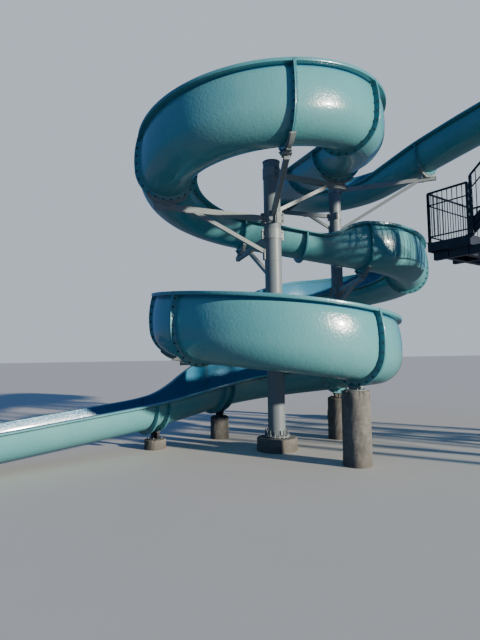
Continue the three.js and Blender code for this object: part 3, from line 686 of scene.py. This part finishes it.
columnsAt = {"front": (0.0, 0.0, 4.66), "rear": (1.765, 3.6, 5.5)}
columnSizes = {"pipe": 0.1365, "plate": 0.205, "plateLow": 0.214, "plateTop": 0.233, "cap": 0.1455,
               "anchors": 16, "anchorCircle": 0.181, "footing": 0.32, "footingTop": 0.2}


def ringOf(x, y, radius, count, turn):
    a = np.arange(count) * 2 * math.pi / count + turn
    return np.stack([x + radius * np.cos(a), y + radius * np.sin(a)], -1)


casting = {"taper": 0.02, "waves": 0.0022, "chipFrom": 0.45, "chipIn": 0.022, "chipDown": 0.014,
           "edge": 0.014, "sides": 96, "levels": 16}


def castDrum(name, nodeName, x, y, radius, top, seed):
    # slightly tapered round cast block with uneven sides and chips out of its upper edge
    v = casting
    turns = np.random.default_rng(seed).uniform(0, 6.28, 8)

    def shaken(r, z, a):
        wave = (np.sin(3 * a + turns[0] + 2 * z) + 0.6 * np.sin(7 * a + 9 * z + turns[1])
                + 0.4 * np.sin(17 * a - 23 * z + turns[2]) + 0.3 * np.sin(29 * a + 41 * z + turns[3]))
        chip = np.sin(5 * a + turns[4]) * np.sin(11 * a + turns[5]) + 0.5 * np.sin(23 * a + turns[6])
        chip = np.clip(chip - v["chipFrom"], 0, 1)
        level = np.arange(len(r))[:, None]
        outer = level < len(r) - 1
        nearTop = outer & (level >= len(r) - 4)
        r = r + np.where(outer, wave * v["waves"], 0) - np.where(nearTop, chip * v["chipIn"], 0)
        return r, z - np.where(nearTop, chip * v["chipDown"] * (level - len(r) + 5) / 3, 0)

    level = np.linspace(0, 1, v["levels"])
    face = np.stack([radius * (1 + v["taper"] * (0.5 - level)), (top - v["edge"]) * level], 1)
    edge = np.array([(-0.004, -0.005), (-0.012, -0.001), (-0.04, -0.0005)])
    edge = edge + [radius * (1 - v["taper"] / 2), top]
    shape = turned(np.concatenate([face, edge]), x, y, v["sides"], shaken)
    Parts().add(shape).put(name, [castConcrete], "concrete", [nodeName], sharp=60)


for seed, (key, (x, y, top)) in enumerate(columnsAt.items()):
    # pipe with weld beads, capped, on a base plate that stands clear of its grout
    c = columnSizes
    pipe, plate, low, high, cap = (c[key] for key in ("pipe", "plate", "plateLow", "plateTop", "cap"))
    profile = [(0.16, 0.2002), (0.16, low), (plate - 0.003, low), (plate, low + 0.003),
               (plate, high - 0.003), (plate - 0.003, high), (pipe + 0.011, high),
               (pipe + 0.008, high + 0.008), (pipe, high + 0.012), (pipe, top / 2), (pipe, top - 0.022),
               (pipe + 0.006, top - 0.014), (cap, top - 0.014), (cap, top - 0.003), (cap - 0.003, top)]
    parts = Parts().add(turned(profile, x, y))
    bead = np.array([(-0.001, -0.006), (0.0022, -0.003), (0.0022, 0.003), (-0.001, 0.006)])
    for z in np.arange(1.5, top - 0.5, 1.5):
        parts.add(turned(bead + [pipe, z], x, y))
    parts.put("post_" + key, [columnPaint], "support_steel", ["column_" + key])
    spots, anchors = ringOf(x, y, c["anchorCircle"], c["anchors"], 0.13), Parts()
    addBolts(anchors, "anchor", lambda height: raised(spots, height), 0)
    anchors.put("anchors_" + key, [galvanised], "support_steel")
    castDrum("block_" + key, "footing_" + key, x, y, c["footing"], c["footingTop"] + 0.0005, 11 + seed)

piers = {
    "front": {"joint": "lowFront", "radius": 0.192, "top": 0.995},
    "east": {"joint": "lowEast", "radius": 0.192, "top": 0.72},
    "exit": {"joint": "exitPier", "radius": 0.165, "top": 0.39},
    "low": {"joint": "exitLow", "radius": 0.175, "top": 0.155},
}
for seed, (key, pier) in enumerate(piers.items()):
    x, y, _ = spotAt(jointAt[pier["joint"]])
    castDrum("pillar_" + key, "pier_" + key, x, y, pier["radius"], pier["top"] + 0.0005, 31 + seed)
print("columns, footings and piers made")

# cradles and cantilevers

support = {
    "seat": 0.0004, "saddleHalf": 0.04, "wideAngle": 1.5 * 180 / 7, "narrowAngle": 0.5 * 180 / 7,
    "strap": 0.01, "webHalf": 0.026, "webSweep": 2.2, "plate": 0.01, "stiffenerAt": 0.3,
    "footShare": 0.9, "footNutAt": (0.39, 0.8), "weld": 0.004,
    "under": 0.125, "armWidth": 0.07, "armHeight": 0.09, "armEnd": (0.08, 0.1), "tipDrop": 0.012,
    "tipPlate": (0.13, 0.13, 0.022), "armFoot": (0.024, 0.15, 0.16), "faceOut": 0.011,
    "faceBoltAt": (0.055, 0.062),
    "brace": 0.062, "bracePlate": (0.2, 0.062, 0.01), "braceFoot": (0.03, 0.09, 0.17),
    "braceLift": 0.03,
    "ringTurn": 87, "clampTall": 0.16, "clampClear": 0.0003, "earPlate": 0.01, "earLength": 0.05,
    "earGap": 0.011, "earOut": 0.03, "earBoltOut": 0.032, "earBoltAt": 0.3,
    "stub": (0.07, 0.04), "stubPlate": 0.8, "stubBoltAt": 0.78,
}
underFlange = centreUp + flume["flangeOut"] + support["seat"]


def beside(s, side, ahead=0.0):
    # plan point to the left of the path and ahead along it
    x, y, h = spotAt(s)
    return x - math.sin(h) * side + math.cos(h) * ahead, y + math.cos(h) * side + math.sin(h) * ahead


def band(s, angle, near, far, halfWidth):
    # curved strip below a flange between two radii, over plus and minus an angle
    a = np.radians(np.linspace(-angle, angle, 15))
    side = np.concatenate([-near * np.sin(a), -far * np.sin(a[::-1])])
    up = centreUp - np.concatenate([near * np.cos(a), far * np.cos(a[::-1])])
    at = s + np.linspace(-halfWidth, halfWidth, 3)[:, None]
    return swept(onPath(at, side[None], up[None]))


def crescent(s, angle, near, bottom, halfWidth, sweep):
    # plate whose top follows the flange; its lower edge is flat in the middle and rises
    # by a power of the distance from it to meet the top at both ends
    a = np.radians(np.linspace(-angle, angle, 19))
    at = s + np.linspace(-halfWidth, halfWidth, 3)[:, None]
    side = np.concatenate([-near * np.sin(a), -near * np.sin(a[::-1])])[None] + 0 * at
    top = centreUp - near * np.cos(a)[None] + 0 * at
    flat = bottom - eased(drops, at)
    rise = np.abs(np.sin(a) / np.sin(a[-1]))[None] ** sweep
    low = flat + (top[:, :1] - 0.012 - flat) * rise
    return swept(onPath(at, side, np.concatenate([top, low], 1)))


def cradle(parts, s, angle, bottom):
    # strap under the flange pair, central web, foot plate, two stiffeners and four nuts
    v, near = support, underFlange
    half, thick = v["saddleHalf"], v["plate"]
    parts.add(band(s, angle, near, near + v["strap"], half))
    parts.add(crescent(s, angle, near + v["strap"] - 0.001, bottom + 0.003, v["webHalf"],
                       v["webSweep"]))
    reach = near * math.sin(math.radians(angle))
    heading = spotAt(s)[2]
    parts.add(block((*beside(s, 0.0), bottom + thick / 2), (2 * half, v["footShare"] * reach, thick),
                    heading))
    for way in (-1, 1):
        side = way * v["stiffenerAt"] * reach
        top = float(eased(drops, s)) + centreUp - math.sqrt(near ** 2 - side ** 2) - v["weld"]
        size = 2 * half - thick, thick, top - bottom
        parts.add(block((*beside(s, side), (top + bottom) / 2), size, heading))
    out, ahead = v["footNutAt"][0] * reach, v["footNutAt"][1] * half
    spots = np.array([beside(s, a * out, b * ahead) for a in (-1, 1) for b in (-1, 1)])
    addBolts(parts, "saddle", lambda height: raised(spots, bottom + height))


def collar(parts, x, y, height, heading):
    # two half rings clamped round a column by bolted ears at right angles to the arm
    v, pipe = support, columnSizes["pipe"]
    tall, low = v["clampTall"], pipe + v["clampClear"]
    high = low + v["earPlate"]
    for turn in (0, math.pi):
        a = heading + turn + np.radians(np.linspace(-v["ringTurn"], v["ringTurn"], 25))[:, None]
        r = np.array([[low, high, high, low]])
        z = height + np.array([[-0.5, -0.5, 0.5, 0.5]]) * tall
        parts.add(swept(np.stack([x + r * np.cos(a), y + r * np.sin(a), z + 0 * a], -1)))
    ahead, middle = levelWay(heading), np.array([x, y, height])
    for a in (heading - math.pi / 2, heading + math.pi / 2):
        out = levelWay(a)
        for gap in (-v["earGap"], v["earGap"]):
            ear = middle + out * (pipe + v["earOut"]) + ahead * gap
            parts.add(block(ear, (v["earLength"], v["earPlate"], tall), a))
        for lift in (-v["earBoltAt"] * tall, v["earBoltAt"] * tall):
            spot = middle + [0, 0, lift] + out * (pipe + v["earBoltOut"])
            addBolts(parts, "clamp", lambda along: spot + ahead * along)


def cantilever(name, key, joint, atHeight, braceFrom=None, braceAlong=0.7, past=0.0):
    # beam from a collar on the column to a cradle under a joint, braced from below
    v, pipe = support, columnSizes["pipe"]
    x, y, _ = columnsAt[key]
    s, half = jointAt[joint], v["saddleHalf"]
    low = float(min(eased(drops, s - half), eased(drops, s + half)))
    tip = np.array([*beside(s, 0.0), low - v["under"]])
    heading = math.atan2(tip[1] - y, tip[0] - x)
    way = levelWay(heading)
    left = np.array([-way[1], way[0], 0.0])
    root = np.array([x, y, atHeight])
    reach = float(np.linalg.norm(tip[:2] - root[:2]))
    slope = (tip - [0, 0, v["armHeight"] / 2 - v["tipDrop"]]) - root
    beam, end = unit(slope), root + slope * (1 + past / reach)
    parts = Parts()
    parts.add(bars(root + slope * (pipe - v["weld"]) / reach, end, v["armWidth"], v["armHeight"]))
    parts.add(bars(end - beam * 0.002, end + beam * 0.005, *v["armEnd"]))
    parts.add(block(tip, v["tipPlate"], heading))
    cradle(parts, s, v["wideAngle"], tip[2])
    collar(parts, x, y, atHeight, heading)
    face = np.array([x, y, 0]) + way * (pipe + v["faceOut"])
    parts.add(block(face + [0, 0, atHeight], v["armFoot"], heading))
    aside, aloft = v["faceBoltAt"]
    for side in (-aside, aside):
        for lift in (-aloft, aloft):
            spot = face + left * side + [0, 0, atHeight + lift]
            addBolts(parts, "armFoot", lambda along: spot + way * along)
    if braceFrom is not None:
        meet, foot = root + slope * braceAlong, np.array([x, y, braceFrom])
        lean = meet - foot
        start = foot + lean * (pipe - 0.002) / float(np.linalg.norm(lean[:2]))
        parts.add(bars(start, meet, v["brace"], v["brace"]))
        parts.add(block(meet - [0, 0, v["armHeight"] / 2 + v["weld"]], v["bracePlate"], heading))
        parts.add(block(face + [0, 0, braceFrom + v["braceLift"]], v["braceFoot"], heading))
    parts.put("bracket_" + name, [supportPaint, galvanised], "support_steel", ["arm_" + name], soften=0.003)


# column, joint, height on the column, height of the brace's foot, share of the arm's length where
# the brace meets it, length of the arm past the cradle
cantilevers = {
    "loop_east": ("front", "loopEast", 4.46, 3.8, 0.88, 0.19),
    "loop_south": ("front", "loopSouth", 3.72),
    "loop_west": ("front", "loopWest", 3.69, 3.08, 0.78, 0.19),
    "loop_north": ("front", "loopNorth", 3.44, 2.7, 0.72, 0.19),
    "back_west": ("front", "backWest", 1.4),
    "entry": ("rear", "entryArm", 5.4, 4.38, 0.92, 0.19),
    "rear_west": ("rear", "rearWest", 4.76, 4.4, 0.55, 0.19),
    "mid_front": ("rear", "midFront", 2.96, 2.64, 0.8),
    "mid_north": ("rear", "midNorth", 2.5, 2.12, 0.8),
    "back_run": ("rear", "backRun", 2.2, 1.86, 0.8),
}
for name, values in cantilevers.items():
    cantilever(name, *values)

# short stubs on bolted round plates, with narrow straps under the flange pairs
for key, pier in piers.items():
    s, near, v = jointAt[pier["joint"]], underFlange, support
    x, y, h = spotAt(s)
    plate, top = pier["radius"] * v["stubPlate"], pier["top"] + 0.001
    parts = Parts()
    parts.add(turned([(plate, top), (plate, top + 0.01), (plate - 0.002, top + 0.0125)], x, y, 48))
    parts.add(band(s, v["narrowAngle"], near, near + 0.008, v["saddleHalf"]))
    parts.add(crescent(s, v["narrowAngle"], near + 0.006, top + 0.01, 0.02, 9.0))
    height = float(eased(drops, s)) + centreUp - near - top
    parts.add(block((x, y, top + height / 2), (*v["stub"], max(0.01, height - v["weld"])), h))
    spots = ringOf(x, y, plate * v["stubBoltAt"], 4, h + math.pi / 4)
    addBolts(parts, "stub", lambda height: raised(spots, top + height))
    paint = supportPaint if key == "front" else darkSteel
    parts.put("stub_" + key, [paint, galvanised], "support_steel", ["saddle_" + key], soften=0.0015)
print("supports made")

# stair tower

tower = {
    "corner": (2.935, 1.05), "heading": -53.0, "landing": 3.5, "deck": 6.56,
    "landingLength": 0.8, "flightWidth": 0.78, "flightGap": 0.11, "going": 0.25, "tread": 0.27,
    "stringerDepth": 0.23, "stringerLift": 0.09, "deckStart": 4.35, "deckEnd": 6.35,
    "deckWidth": 2.9, "railHeight": 0.93, "secondRail": 0.7,
    "railRadii": (0.0205, 0.0125, 0.0135), "post": 0.042, "postPlate": (0.09, 0.09, 0.01),
    "balusterPitch": 0.096, "baluster": 0.0075, "gripStrips": 7, "slideLine": 2.181,
    "slideClear": 0.545, "inset": 0.03, "railOut": 0.0232, "postBoltAt": 0.034,
    "postClear": 0.045, "railEnd": 0.06, "slantFoot": -0.09, "levelRail": 0.11, "treadSide": 0.008,
    "treadBoltAt": (0.07, 0.022), "web": 0.007, "flange": (0.03, 0.012),
}


def towerPlace(points):
    # from the tower's own length, width and height to the common frame
    c, s, _ = levelWay(math.radians(tower["heading"]))
    u, v, z = points.T
    x0, y0 = tower["corner"]
    return np.stack([x0 + u * c - v * s, y0 + u * s + v * c, z], -1)


def railing(parts, start, end, posts, level, foot, plates=True):
    # round top and second rails, bottom rail, square posts and thin uprights between two points
    start, end, lift = np.array([start, end, (0, 0, 1)], float)
    high, post = tower["railHeight"], tower["post"]
    for at, radius in zip((high, tower["secondRail"], level), tower["railRadii"]):
        parts.add(rods(start + lift * at, end + lift * at, radius, 14))
    feet = start + (end - start) * np.linspace(0, 1, posts + 1)[:, None]
    parts.add(bars(feet + lift * foot, feet + lift * (high - 0.004), post, post))
    if plates:
        for p in feet:
            parts.add(block(p + lift * (foot + 0.005), tower["postPlate"]))
            corners = p[:2] + tower["postBoltAt"] * np.array([(-1, -1), (-1, 1), (1, -1), (1, 1)])
            addBolts(parts, "post", lambda height: raised(corners, p[2] + foot + height))
    length = float(np.linalg.norm((end - start)[:2]))
    count = max(2, round(length / tower["balusterPitch"]))
    k = np.arange(1, count) / count
    clear = np.abs(k * posts - np.round(k * posts)) * length / posts > tower["postClear"]
    spots = start + (end - start) * k[clear, None]
    parts.add(rods(spots + lift * level, spots + lift * (high - 0.01), tower["baluster"], 8))


def stairFlight(name, low, high, rises, v0):
    # folded treads with grip strips between two channel stringers
    (u0, z0), (u1, z1) = low, high
    way, tread = math.copysign(1, u1 - u0), tower["tread"]
    rise = (z1 - z0) / rises
    slope = rise / tower["going"]
    v1 = v0 + tower["flightWidth"]
    step = np.arange(1, rises)
    front, top = u0 + way * tower["going"] * (step - 1), z0 + rise * step
    parts = Parts(towerPlace)

    def across(back, v, below):
        # the same point of every tread: back from its front, v over the width, below its top
        return np.stack([front + way * back, np.full(len(step), v), top - below], -1)

    # bars over the stair's width: back from the front, below the top, width, thickness
    strips = [(tread / 2, 0.0045, tread - 0.004, 0.005), (0.004, 0.02, 0.005, 0.034),
              (tread - 0.005, 0.018, 0.005, 0.03)]
    strips += [(tread * share, 0.0012, 0.008, 0.0026) for share in np.linspace(0.1, 0.9, tower["gripStrips"])]
    for back, below, width, thick in strips:
        ends = (across(back, v, below) for v in (v0 + tower["treadSide"], v1 - tower["treadSide"]))
        parts.add(bars(*ends, width, thick))
    half = tower["stringerDepth"] / 2 * math.sqrt(1 + slope ** 2)
    run = abs(u1 - u0) * np.linspace(0.0, 1.0, 24)
    centre = z0 + run * slope + tower["stringerLift"]
    u = u0 + way * (run * 0.9999 + 0.0002)
    (flange, thick), (boltAt, boltDown) = tower["flange"], tower["treadBoltAt"]
    for v, inwards in ((v0, 1), (v1, -1)):
        # web, upper flange and lower flange of the channel
        for wide, below, above in ((tower["web"], -half, half), (flange, half - thick, half),
                                   (flange, -half, thick - half)):
            under, over = np.maximum(centre + below, 0.0), np.maximum(centre + above, 0.002)
            far = v + inwards * wide
            corners = ((v, under), (far, under), (far, over), (v, over))
            ring = np.stack([np.stack([u, np.full_like(u, side), z], -1) for side, z in corners], 1)
            parts.add(swept(ring), 2)
        spots = np.concatenate([across(tread / 2 + d, v, boltDown) for d in (-boltAt, boltAt)])
        addBolts(parts, "tread", lambda along: spots + [0, inwards * along, 0])
    parts.put("stair_" + name, [treadMetal, galvanised, towerPaint], "stair_steel", ["flight_" + name])


lowerStart = tower["flightWidth"] + tower["flightGap"]
outerEdge = lowerStart + tower["flightWidth"]
lowerFoot = tower["landingLength"] + tower["going"] * 17 + 0.05
upper = ((tower["landingLength"], tower["landing"]), (tower["deckStart"], tower["deck"]))
lower = ((lowerFoot, 0.0), (tower["landingLength"], tower["landing"]))
stairFlight("upper", *upper, 15, 0.0)
stairFlight("lower", *lower, 18, lowerStart)

out, short, foot = tower["railOut"], tower["railEnd"], tower["slantFoot"]
for name, ends, v in (("upper_near", upper, -out), ("upper_far", upper, tower["flightWidth"] + out),
                      ("lower_near", lower, lowerStart - out), ("lower_far", lower, outerEdge + out)):
    (u0, z0), (u1, z1) = ends
    way = math.copysign(1, u1 - u0)
    parts = Parts(towerPlace)
    ends = (u0 + way * short, v, z0 - foot), (u1 - way * short, v, z1 - short)
    railing(parts, *ends, 3, short, foot, False)
    parts.put("handrail_" + name, [towerPaint], "tower_steel", ["rail_" + name])

i = tower["inset"]
landingRun = tower["landingLength"] - i
nearU, farU, wide = tower["deckStart"] + i, tower["deckEnd"] - i, tower["deckWidth"] - i
slideGap = tower["slideLine"] - tower["slideClear"], tower["slideLine"] + tower["slideClear"]
# name, corners, posts along each side, level
guards = (
    ("landing", [(landingRun, i), (i, i), (i, outerEdge - i), (landingRun, outerEdge - i)], (1, 1, 1),
     "landing"),
    ("deck", [(nearU, i), (farU, i), (farU, wide), (nearU, wide), (nearU, slideGap[1])], (2, 3, 2, 1),
     "deck"),
    ("deck_middle", [(nearU, tower["flightWidth"] + 0.04), (nearU, slideGap[0])], (1,), "deck"),
)
for name, corners, posts, level in guards:
    parts = Parts(towerPlace)
    for a, b, count in zip(corners, corners[1:], posts):
        railing(parts, (*a, tower[level]), (*b, tower[level]), count, tower["levelRail"], 0.0002)
    parts.put("guard_" + name, [towerPaint, galvanised], "tower_steel", ["rail_" + name])

for name in ("landing", "landing_bent", "start_deck", "deck_bent_front", "deck_bent_back", "deck_side_near",
             "deck_side_far"):
    nodes[name].material_slots[0].material = towerPaint
nodes["saddle_end"].material_slots[0].material = darkSteel
print("stair tower made")

# studio

studio = {
    "floorHalf": 160.0, "cameraPlace": (-0.555, -7.7, 1.5), "cameraPitch": 4.17,
    "cameraRoll": -0.95, "lens": 27.0, "keyFrom": (57.0, 14.0), "keyStrength": 6.4,
    "keySoftness": 1.8, "keyColour": (1.0, 0.93, 0.81), "skyColour": (0.18, 0.42, 1.0),
    "skyStrength": 0.36, "backdropColour": (0.66, 0.76, 0.86), "backdropStrength": 0.8,
}

half = studio["floorHalf"]
mesh = bpy.data.meshes.new("floor")
mesh.from_pydata([(-half, -half, 0), (half, -half, 0), (half, half, 0), (-half, half, 0)], [], [(0, 1, 2, 3)])
mesh.materials.append(studioFloor)
floor = newObject("floor", mesh)
floor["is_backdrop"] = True

world = bpy.data.worlds.new("paleSky")
bpy.context.scene.world = world
world.use_nodes = True
n = Nodes(world.node_tree)
backgrounds = []
for kind in ("sky", "backdrop"):
    shown = {"Color": (*studio[kind + "Colour"], 1), "Strength": studio[kind + "Strength"]}
    backgrounds.append(n.node("Background", shown).outputs[0])
ray = n.node("LightPath").outputs["Is Camera Ray"]
seen = n.node("MixShader", {0: ray, 1: backgrounds[0], 2: backgrounds[1]})
n.feed(world.node_tree.nodes["World Output"].inputs["Surface"], seen.outputs[0])

# the key stands to the right behind the camera: degrees round from the view line, then above the floor
turnBy, riseBy = (math.radians(v) for v in studio["keyFrom"])
level = math.cos(riseBy)
towards = Vector((math.sin(turnBy) * level, -math.cos(turnBy) * level, math.sin(riseBy)))
key = bpy.data.lights.new("key", "SUN")
key.energy, key.angle = studio["keyStrength"], math.radians(studio["keySoftness"])
key.color = studio["keyColour"]
lamp = newObject("key", key)
lamp.rotation_mode = "QUATERNION"
lamp.rotation_quaternion = towards.to_track_quat("Z", "Y")

lens = bpy.data.cameras.new("view")
lens.lens, lens.sensor_width = studio["lens"], 36.0
lens.clip_start, lens.clip_end = 0.1, 200.0
camera = newObject("view", lens)
camera.matrix_world = (Matrix.Translation(studio["cameraPlace"])
                       @ Matrix.Rotation(math.radians(90 + studio["cameraPitch"]), 4, "X")
                       @ Matrix.Rotation(math.radians(studio["cameraRoll"]), 4, "Z"))
bpy.context.scene.camera = camera
print("studio made")

low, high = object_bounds()
